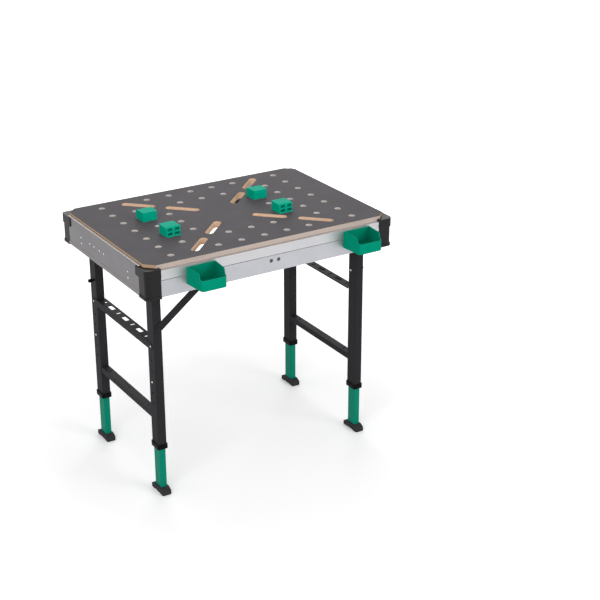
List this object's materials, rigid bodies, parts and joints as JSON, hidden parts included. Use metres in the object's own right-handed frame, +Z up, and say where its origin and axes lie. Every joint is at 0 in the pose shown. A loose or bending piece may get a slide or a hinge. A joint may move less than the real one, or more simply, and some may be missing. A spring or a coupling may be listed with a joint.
{
  "type": "folding workbench",
  "caption": "Folding workbench with a perforated top on aluminium rails, black fold-in leg frames with telescopic green feet, diagonal stays, green clamping blocks and hanging trays.",
  "frame": {"origin": "on the floor, below the centre of the whole outline with the trays", "axes": "+X along the long side, -Y towards the tray side, +Z up"},
  "size_m": [1.043, 0.8218, 0.986],
  "materials": {
    "filmed_board": "matte film on wood fibre board",
    "aluminium": "satin anodised",
    "black_plastic": "moulded, matte",
    "black_steel": "powder coated",
    "plated_steel": "zinc plated",
    "green_steel": "powder coated",
    "green_plastic": "moulded, satin"
  },
  "bodies": {
    "table": {"worktop": "filmed_board", "front_rail": "aluminium", "rear_rail": "aluminium", "left_rail": "aluminium", "right_rail": "aluminium", "front_left_corner_cap": "black_plastic", "front_right_corner_cap": "black_plastic", "rear_left_corner_cap": "black_plastic", "rear_right_corner_cap": "black_plastic", "rail_rivets": "plated_steel", "coupling_screws": "plated_steel", "left_front_hinge_bracket": "plated_steel", "left_rear_hinge_bracket": "plated_steel", "left_stay_keeper": "plated_steel", "right_rear_hinge_bracket": "plated_steel", "right_front_hinge_bracket": "plated_steel", "right_stay_keeper": "plated_steel"},
    "left_leg_frame": {"left_front_leg_tube": "black_steel", "left_front_leg_collar": "black_plastic", "left_rear_leg_tube": "black_steel", "left_rear_leg_collar": "black_plastic", "left_hinge_pins": "plated_steel", "left_upper_crossbar": "black_steel", "left_lower_crossbar": "black_steel", "left_frame_rivets": "plated_steel", "left_fold_knob": "black_plastic", "left_stay_bolt": "plated_steel"},
    "left_stay_bar": {"left_stay": "black_steel", "left_stay_pin": "plated_steel"},
    "left_front_inner_leg": {"left_front_inner_leg": "green_steel", "left_front_foot": "black_plastic", "left_front_snap_button": "plated_steel"},
    "left_rear_inner_leg": {"left_rear_inner_leg": "green_steel", "left_rear_foot": "black_plastic", "left_rear_snap_button": "plated_steel"},
    "right_leg_frame": {"right_rear_leg_tube": "black_steel", "right_rear_leg_collar": "black_plastic", "right_front_leg_tube": "black_steel", "right_front_leg_collar": "black_plastic", "right_hinge_pins": "plated_steel", "right_upper_crossbar": "black_steel", "right_lower_crossbar": "black_steel", "right_frame_rivets": "plated_steel", "right_fold_knob": "black_plastic", "right_stay_bolt": "plated_steel"},
    "right_stay_bar": {"right_stay": "black_steel", "right_stay_pin": "plated_steel"},
    "right_rear_inner_leg": {"right_rear_inner_leg": "green_steel", "right_rear_foot": "black_plastic", "right_rear_snap_button": "plated_steel"},
    "right_front_inner_leg": {"right_front_inner_leg": "green_steel", "right_front_foot": "black_plastic", "right_front_snap_button": "plated_steel"},
    "left_tray": {"left_tray": "green_plastic"},
    "right_tray": {"right_tray": "green_plastic"},
    "left_front_clamping_block": {"left_front_clamping_block": "green_plastic"},
    "left_rear_clamping_block": {"left_rear_clamping_block": "green_plastic"},
    "right_front_clamping_block": {"right_front_clamping_block": "green_plastic"},
    "right_rear_clamping_block": {"right_rear_clamping_block": "green_plastic"}
  },
  "joints": [
    {"name": "left_fold", "type": "hinge", "parent": "table", "child": "left_leg_frame", "pos_m": [-0.446, 0.0474, 0.89], "axis": [0, -1, 0], "range_deg": [0, 90]},
    {"name": "left_stay_swing", "type": "hinge", "parent": "left_leg_frame", "child": "left_stay_bar", "pos_m": [-0.446, -0.2096, 0.677], "axis": [0, -1, 0], "range_deg": [-128.3, 0]},
    {"name": "left_front_leg_slide", "type": "slide", "parent": "left_leg_frame", "child": "left_front_inner_leg", "axis": [0, 0, 1], "range_m": [-0.088, 0.088], "deforming": ["left_front_snap_button"]},
    {"name": "left_rear_leg_slide", "type": "slide", "parent": "left_leg_frame", "child": "left_rear_inner_leg", "axis": [0, 0, 1], "range_m": [-0.088, 0.088], "deforming": ["left_rear_snap_button"]},
    {"name": "right_fold", "type": "hinge", "parent": "table", "child": "right_leg_frame", "pos_m": [0.446, 0.0474, 0.848], "axis": [0, 1, 0], "range_deg": [0, 90]},
    {"name": "right_stay_swing", "type": "hinge", "parent": "right_leg_frame", "child": "right_stay_bar", "pos_m": [0.446, 0.3044, 0.677], "axis": [0, 1, 0], "range_deg": [-128.3, 0]},
    {"name": "right_rear_leg_slide", "type": "slide", "parent": "right_leg_frame", "child": "right_rear_inner_leg", "axis": [0, 0, 1], "range_m": [-0.088, 0.088], "deforming": ["right_rear_snap_button"]},
    {"name": "right_front_leg_slide", "type": "slide", "parent": "right_leg_frame", "child": "right_front_inner_leg", "axis": [0, 0, 1], "range_m": [-0.088, 0.088], "deforming": ["right_front_snap_button"]},
    {"name": "left_tray_slide", "type": "slide", "parent": "table", "child": "left_tray", "axis": [1, 0, 0], "range_m": [-0.05, 0.45]},
    {"name": "right_tray_slide", "type": "slide", "parent": "table", "child": "right_tray", "axis": [1, 0, 0], "range_m": [-0.45, 0.03]},
    {"name": "left_front_block_lift", "type": "slide", "parent": "table", "child": "left_front_clamping_block", "axis": [0, 0, 1], "range_m": [0, 0.04]},
    {"name": "left_rear_block_lift", "type": "slide", "parent": "table", "child": "left_rear_clamping_block", "axis": [0, 0, 1], "range_m": [0, 0.04]},
    {"name": "right_front_block_lift", "type": "slide", "parent": "table", "child": "right_front_clamping_block", "axis": [0, 0, 1], "range_m": [0, 0.04]},
    {"name": "right_rear_block_lift", "type": "slide", "parent": "table", "child": "right_rear_clamping_block", "axis": [0, 0, 1], "range_m": [0, 0.04]}
  ],
  "couplings": [
    {"joint": "left_stay_swing", "follows": "left_fold", "ratio": -1.4192},
    {"joint": "right_stay_swing", "follows": "right_fold", "ratio": -1.4192}
  ]
}
